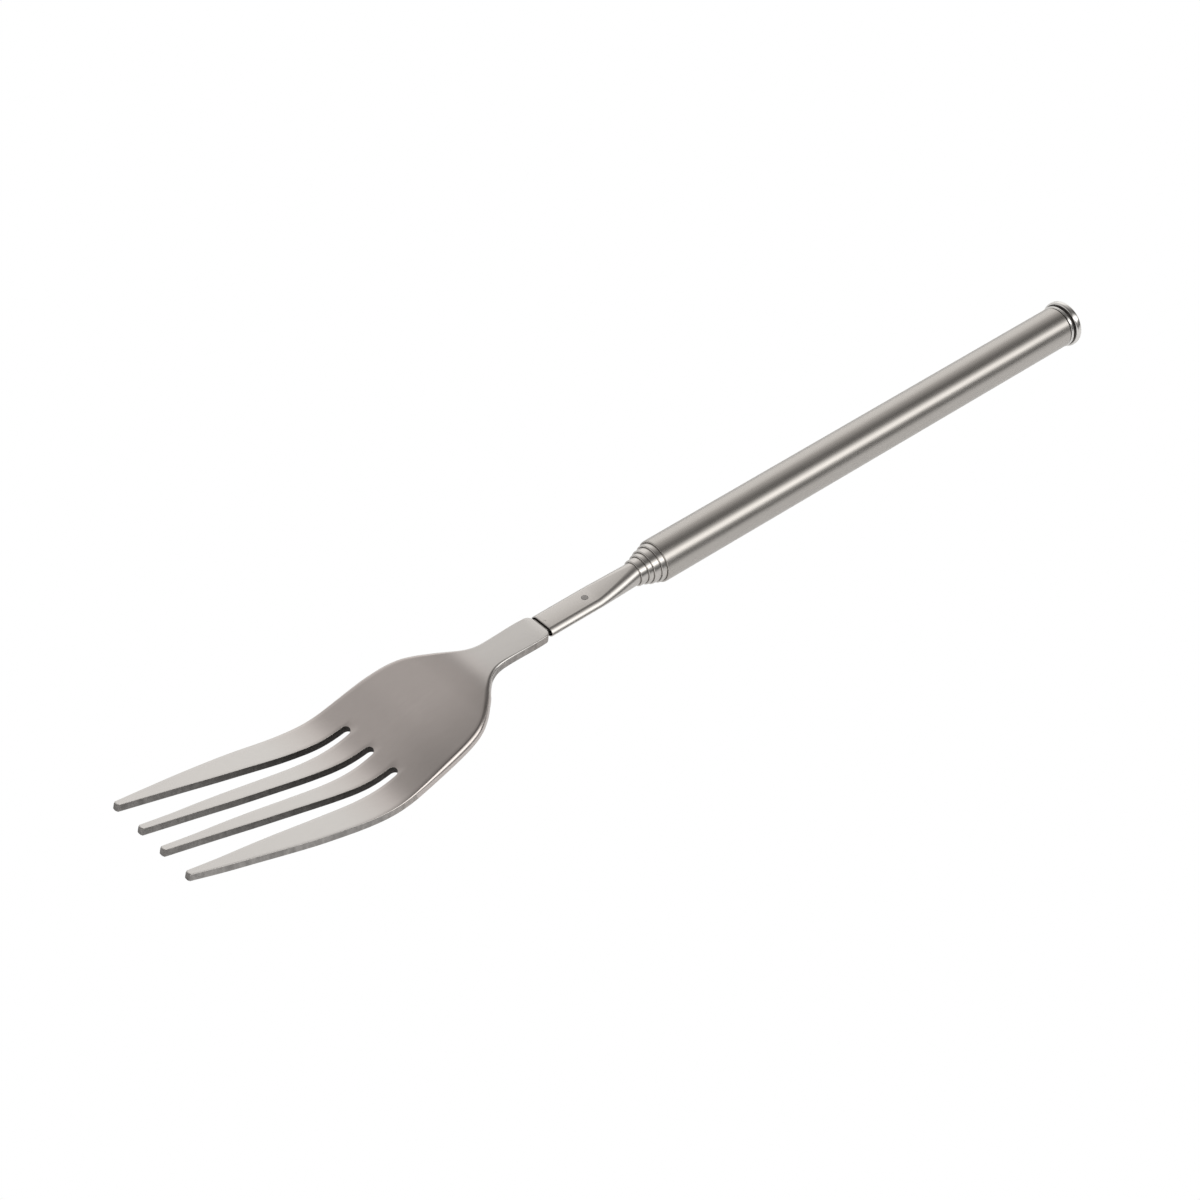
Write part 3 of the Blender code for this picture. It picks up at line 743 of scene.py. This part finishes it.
def head_shape():
    """Upper and lower face on one grid, joined by the rounded edge, and the tang."""
    shape = bmesh.new()
    top_rows = head_rows(TOP_ROUND)
    under_rows = head_rows(UNDER_ROUND)
    upper = face_grid(shape, top_rows, False)
    lower = face_grid(shape, under_rows, True)
    entries = around_outline(*top_rows)
    unders = around_outline(*under_rows)
    ribs = []
    for top, bottom, entry, under in zip(upper, lower, entries, unders):
        (u, y), (nu, ny), rounding = entry
        rib = [top]
        for side, depth in edge_profile(rounding, under[2], thickness(u)):
            rib.append(shape.verts.new(on_sheet(u - side * nu, y - side * ny, depth)))
        ribs.append(rib + [bottom])
    outside = len(top_rows[0]) + COLUMNS + len(top_rows[2]) - 2
    for j, (a, b) in enumerate(zip(ribs, ribs[1:])):
        neck = entries[j][0][0] < NECK_END
        for k in range(len(a) - 1):
            if j < SHOULDER_STRAIGHT and k == ROUND_STEPS:
                continue
            face = shape.faces.new((a[k], a[k + 1], b[k + 1], b[k]))
            # Slot walls, tine tips and the neck's lower edge take the cut edge material with
            # its painted shade.
            shade_edge = j >= outside and k >= ROUND_STEPS // 2
            if shade_edge or (neck and k > ROUND_STEPS + 1):
                face.material_index = SHADE_EDGE_SLOT
            elif neck and k >= ROUND_STEPS:
                face.material_index = NECK_SLOT
            elif k >= ROUND_STEPS - 3 and entries[j][0][0] > TRIMMED_START:
                face.material_index = TRIMMED_SLOT
    add_tang(shape, ribs[:SHOULDER_STRAIGHT + 1])
    mirror_half(shape)
    return shape


def add_tang(shape, ribs):
    """Draw the tang out of the tongue's back edge, into the flat of the stem."""
    top = smooth_curve(TOP_ROUND, TONGUE_SHOULDER)
    under = smooth_curve(UNDER_ROUND, TONGUE_SHOULDER)
    bottom = top + TANG_SHARE * (thickness(TONGUE_SHOULDER) - top - under)
    upper = [rib[ROUND_STEPS] for rib in ribs]
    lower = [rib[ROUND_STEPS + 1] for rib in ribs]
    for forward in TANG_STATIONS:
        next_upper = []
        next_lower = []
        for rib in ribs:
            y = rib[ROUND_STEPS].co.y / MM
            next_upper.append(shape.verts.new(on_sheet(forward, y, top)))
            next_lower.append(shape.verts.new(on_sheet(forward, y, bottom)))
        bridge(shape, upper, next_upper, closed=False)
        bridge(shape, lower, next_lower, closed=False)
        shape.faces.new((upper[-1], next_upper[-1], next_lower[-1], lower[-1]))
        upper, lower = next_upper, next_lower
    bridge(shape, upper, lower, closed=False)


def mirror_half(shape):
    """Add the half at negative y and join it along the centre line."""
    copies = bmesh.ops.duplicate(shape, geom=shape.verts[:] + shape.faces[:])
    for item in copies["geom"]:
        if isinstance(item, bmesh.types.BMVert):
            item.co.y = -item.co.y
    seam = [vert for vert in shape.verts if abs(vert.co.y) < 1e-8]
    bmesh.ops.remove_doubles(shape, verts=seam, dist=1e-7)


# ---- pin ----------------------------------------------------------------------------
def pin_shape():
    """Peened pin standing through the flat of the stem."""
    low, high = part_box("tang_pin")
    half = (high.z - low.z) / 2.0 / MM
    profile = [(half, 0.0), (half - 0.005, 0.2), (half - 0.015, 0.38)]
    profile += arc(half - PIN_DOME - 0.01, PIN_RADIUS - PIN_DOME, PIN_DOME, PIN_DOME,
                   20.0, 90.0, 4)
    profile += [(-x, r) for x, r in reversed(profile)]
    shape = lathe(profile, segments=64, closed=False)
    upright = Matrix.Rotation(-math.pi / 2.0, 4, "Y")
    centre = Matrix.Translation(((LIP_X - PIN_X) * MM, 0.0, 0.0))
    bmesh.ops.transform(shape, matrix=centre @ upright, verts=shape.verts)
    return shape


def drill(piece, forward, radius, from_height, to_height):
    """Cut an upright round hole into a piece, between two heights."""
    shape = bmesh.new()
    depth = (to_height - from_height) * MM
    bmesh.ops.create_cone(shape, cap_ends=True, segments=64, radius1=radius * MM,
                          radius2=radius * MM, depth=depth)
    mesh = bpy.data.meshes.new("cutter")
    shape.to_mesh(mesh)
    shape.free()
    cutter = bpy.data.objects.new("cutter", mesh)
    bpy.context.scene.collection.objects.link(cutter)
    middle = (to_height + from_height) / 2.0
    cutter.location = ((LIP_X - forward) * MM, 0.0, middle * MM)
    cut = piece.modifiers.new("hole", "BOOLEAN")
    cut.operation = "DIFFERENCE"
    cut.object = cutter
    graph = bpy.context.evaluated_depsgraph_get()
    drilled = bpy.data.meshes.new_from_object(piece.evaluated_get(graph))
    piece.modifiers.clear()
    piece.data = drilled
    bpy.data.objects.remove(cutter)


# ---- put the pieces on their bodies -------------------------------------------------
def make_pieces():
    """Every detailed piece, on its body and in place of its CAD node."""
    tubes = [("handle_tube", "handle")]
    tubes += [(f"tube_{i}", f"section_{i}") for i in range(2, STAGES + 1)]
    for stage, (node, body) in enumerate(tubes):
        steel = DRAWN if stage else BRUSHED
        add_piece(node + "_fine", tube_shape(stage, node), steel, body,
                  node)
    add_piece("end_plug_fine", plug_shape(), (POLISHED, GROOVE_PAINTED_SHADE), "handle",
              "end_plug")
    for stage in range(STAGES):
        node = f"guide_bush_{stage + 1}"
        body = f"section_{stage + 2}" if stage + 1 < STAGES else "fork"
        bore = HANDLE_RADIUS - stage * RADIUS_STEP - WALL
        inner = HANDLE_RADIUS - (stage + 1) * RADIUS_STEP
        add_piece(node + "_fine", bush_shape(node, bore - BUSH_PLAY, inner + BUSH_SEAT),
                  BRASS, body, node)
    stem = add_piece("stem_tube_fine", stem_shape(), SATIN, "fork",
                     "stem_tube")
    head = add_piece("fork_head_fine", head_shape(),
                     (SHEET_STEEL, ROUGH_EDGE_PAINTED_SHADE, TRIMMED, NECK_EDGE), "fork",
                     "fork_head")
    for piece in (stem, head):
        drill(piece, PIN_X, PIN_RADIUS + PIN_PLAY, -3.0, 3.0)
    surface = STEM_FLAT_HALF_HEIGHT
    drill(stem, DIMPLE_X, DIMPLE_RADIUS, surface - DIMPLE_DEPTH, surface + 1.0)
    add_piece("tang_pin_fine", pin_shape(), PEENED, "fork", "tang_pin")
    for name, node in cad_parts.items():
        if name.startswith("leaf_"):
            node.data.materials.clear()
            node.data.materials.append(BRONZE)


# ---- floor, light and camera --------------------------------------------------------
FLOOR_Z = -13.9
FLOOR_HALF = 3.0                # metres
FLOOR_REACH = 0.5               # metres along y that FLOOR_SHADE covers on each side
FLOOR_GLOW = 0.28
# Albedo of the floor by metres along y: it is darker on the key panel's side.
FLOOR_SHADE = ((-0.5, 0.25), (-0.15, 0.3), (-0.06, 0.72), (-0.03, 0.91), (-0.012, 0.91),
               (-0.002, 0.78), (0.03, 0.76), (0.06, 0.8), (0.5, 0.8))
# Brightness of the studio around the fork's long axis: degrees from +Y over the top.
STUDIO = ((-180.0, 0.3), (-90.0, 0.6), (-12.0, 0.75), (0.0, 1.1), (12.0, 1.05),
          (30.0, 1.11), (47.0, 0.99), (54.0, 0.82), (60.0, 0.64), (70.0, 0.53), (84.0, 0.3),
          (98.0, 0.17), (108.0, 0.17), (116.0, 0.3), (122.0, 0.62), (127.0, 1.05),
          (133.0, 1.65), (139.0, 2.1), (148.0, 2.1), (155.0, 0.9), (163.0, 0.3),
          (172.0, 0.22), (180.0, 0.12))
STUDIO_PEAK = 2.5
# Share of that light by the direction's part along the axis, from the tines' end.
STUDIO_ENDS = ((-1.0, 0.6), (-0.3, 0.62), (0.1, 0.7), (0.2, 0.83), (0.34, 0.99),
               (0.6, 1.02), (0.8, 1.06), (0.9, 1.0), (0.96, 0.85), (1.0, 0.7))
ENDS_PEAK = 1.1
# Extra share for the key panel alone, which fades in between the angles of its foot.
KEY_ENDS = ((-1.0, 1.6), (0.1, 1.6), (0.33, 1.03), (0.66, 1.05), (0.78, 0.22),
            (0.88, 0.3), (1.0, 0.5))
KEY_PEAK = 1.7
KEY_FOOT = (85.0, 112.0)
# How much green and blue the light lacks, and between which angles it lacks more.
WARMTH = (0.02, 0.05)
WARM_ANGLES = (54.0, 118.0)
WARMER = (0.036, 0.072)
# The camera: degrees, then metres; the lens in millimetres.
CAMERA_AZIMUTH = 41.65948
CAMERA_ELEVATION = 42.16327
CAMERA_ROLL = 0.53034
CAMERA_TARGET = (-0.1257736, -0.0014029, 0.0)
CAMERA_DISTANCE = 0.5264177
CAMERA_LENS = 87.79371


def white_for_camera(tree, shader):
    """Show plain white to the camera and the given shader to everything else."""
    white = tree.nodes.new("ShaderNodeEmission")
    path = tree.nodes.new("ShaderNodeLightPath")
    mix = tree.nodes.new("ShaderNodeMixShader")
    tree.links.new(path.outputs["Is Camera Ray"], mix.inputs[0])
    tree.links.new(shader, mix.inputs[1])
    tree.links.new(white.outputs["Emission"], mix.inputs[2])
    return mix.outputs["Shader"]


def light_ramp(tree, value, low, high, stops, peak, lacking=None):
    """A colour ramp over low to high whose stops are (position, brightness).

    It is grey, unless lacking tells how much green and blue a position lacks.
    """
    spot = tree.nodes.new("ShaderNodeMapRange")
    spot.inputs["From Min"].default_value = low
    spot.inputs["From Max"].default_value = high
    tree.links.new(value, spot.inputs["Value"])
    ramp = tree.nodes.new("ShaderNodeValToRGB")
    tree.links.new(spot.outputs["Result"], ramp.inputs["Fac"])
    elements = ramp.color_ramp.elements
    elements.remove(elements[0])
    for i, (place, light) in enumerate(stops):
        position = (place - low) / (high - low)
        stop = elements[0] if i == 0 else elements.new(position)
        stop.position = position
        level = light / peak
        green, blue = lacking(place) if lacking else (0.0, 0.0)
        stop.color = (level, level * (1.0 - green), level * (1.0 - blue), 1.0)
    return ramp.outputs["Color"]


def warmth_at(angle):
    """How much green and blue the studio lacks at an angle around the axis."""
    return WARMER if WARM_ANGLES[0] <= angle <= WARM_ANGLES[1] else WARMTH


def smooth_step(tree, value, limits):
    """0 to 1 as a value passes from the first limit to the second."""
    step = tree.nodes.new("ShaderNodeMapRange")
    step.interpolation_type = "SMOOTHSTEP"
    step.inputs["From Min"].default_value = limits[0]
    step.inputs["From Max"].default_value = limits[1]
    tree.links.new(value, step.inputs["Value"])
    return step.outputs["Result"]


def product(tree, first, second):
    """Two colours multiplied."""
    node = tree.nodes.new("ShaderNodeVectorMath")
    node.operation = "MULTIPLY"
    tree.links.new(first, node.inputs[0])
    tree.links.new(second, node.inputs[1])
    return node.outputs[0]


def make_studio():
    """Soft studio: a long key panel, a pale wall behind and a dark ceiling between."""
    scene = bpy.context.scene
    world = bpy.data.worlds.new("studio")
    world.use_nodes = True
    scene.world = world
    tree = world.node_tree
    output = tree.nodes["World Output"]
    background = tree.nodes["Background"]
    direction = tree.nodes.new("ShaderNodeTexCoord")
    axes = tree.nodes.new("ShaderNodeSeparateXYZ")
    tree.links.new(direction.outputs["Generated"], axes.inputs["Vector"])
    around = tree.nodes.new("ShaderNodeMath")
    around.operation = "ARCTAN2"
    tree.links.new(axes.outputs["Z"], around.inputs[0])
    tree.links.new(axes.outputs["Y"], around.inputs[1])
    degrees = tree.nodes.new("ShaderNodeMath")
    degrees.operation = "DEGREES"
    tree.links.new(around.outputs[0], degrees.inputs[0])
    light = light_ramp(tree, degrees.outputs[0], -180.0, 180.0, STUDIO, STUDIO_PEAK,
                       warmth_at)
    share = light_ramp(tree, axes.outputs["X"], -1.0, 1.0, STUDIO_ENDS, ENDS_PEAK)
    key = light_ramp(tree, axes.outputs["X"], -1.0, 1.0, KEY_ENDS, KEY_PEAK)
    above = smooth_step(tree, degrees.outputs[0], KEY_FOOT)
    lit = tree.nodes.new("ShaderNodeMix")
    lit.data_type = "RGBA"
    plain = 1.0 / KEY_PEAK
    lit.inputs[6].default_value = (plain, plain, plain, 1.0)
    tree.links.new(above, lit.inputs[0])
    tree.links.new(key, lit.inputs[7])
    color = product(tree, product(tree, light, share), lit.outputs[2])
    tree.links.new(color, background.inputs["Color"])
    background.inputs["Strength"].default_value = STUDIO_PEAK * ENDS_PEAK * KEY_PEAK
    seen = white_for_camera(tree, background.outputs["Background"])
    tree.links.new(seen, output.inputs["Surface"])


def make_floor():
    """A pale floor under the fork, staged so that it is no part of the object."""
    shape = bmesh.new()
    bmesh.ops.create_grid(shape, x_segments=8, y_segments=8, size=FLOOR_HALF)
    mesh = bpy.data.meshes.new("floor")
    shape.to_mesh(mesh)
    shape.free()
    floor = bpy.data.objects.new("floor", mesh)
    floor.location = (0.0, 0.0, FLOOR_Z * MM)
    bpy.context.scene.collection.objects.link(floor)
    material = bpy.data.materials.new("pale_floor")
    material.use_nodes = True
    tree = material.node_tree
    shader = tree.nodes["Principled BSDF"]
    place = tree.nodes.new("ShaderNodeNewGeometry")
    axes = tree.nodes.new("ShaderNodeSeparateXYZ")
    tree.links.new(place.outputs["Position"], axes.inputs["Vector"])
    shade = light_ramp(tree, axes.outputs["Y"], -FLOOR_REACH, FLOOR_REACH, FLOOR_SHADE,
                       1.0)
    tree.links.new(shade, shader.inputs["Base Color"])
    tree.links.new(shade, shader.inputs["Emission Color"])
    shader.inputs["Emission Strength"].default_value = FLOOR_GLOW
    shader.inputs["Roughness"].default_value = 0.9
    seen = white_for_camera(tree, shader.outputs["BSDF"])
    tree.links.new(seen, tree.nodes["Material Output"].inputs["Surface"])
    mesh.materials.append(material)


def make_camera():
    """A camera that looks at the target from a distance, along +X +Y and down."""
    scene = bpy.context.scene
    azimuth = math.radians(CAMERA_AZIMUTH)
    elevation = math.radians(CAMERA_ELEVATION)
    roll = math.radians(CAMERA_ROLL)
    flat = Vector((math.sin(azimuth), math.cos(azimuth), 0.0))
    level = Vector((math.cos(azimuth), -math.sin(azimuth), 0.0))
    forward = flat * math.cos(elevation) - Vector((0.0, 0.0, math.sin(elevation)))
    above = level.cross(forward)
    right = level * math.cos(roll) + above * math.sin(roll)
    up = right.cross(forward)
    data = bpy.data.cameras.new("camera")
    data.lens = CAMERA_LENS
    data.sensor_width = 36.0
    data.clip_start = 0.01
    data.clip_end = 20.0
    camera = bpy.data.objects.new("camera", data)
    place = Vector(CAMERA_TARGET) - forward * CAMERA_DISTANCE
    camera.matrix_world = Matrix((
        (right.x, up.x, -forward.x, place.x),
        (right.y, up.y, -forward.y, place.y),
        (right.z, up.z, -forward.z, place.z),
        (0.0, 0.0, 0.0, 1.0)))
    scene.collection.objects.link(camera)
    scene.camera = camera
    scene.view_settings.view_transform = "Standard"


make_camera()
make_pieces()
make_studio()
make_floor()
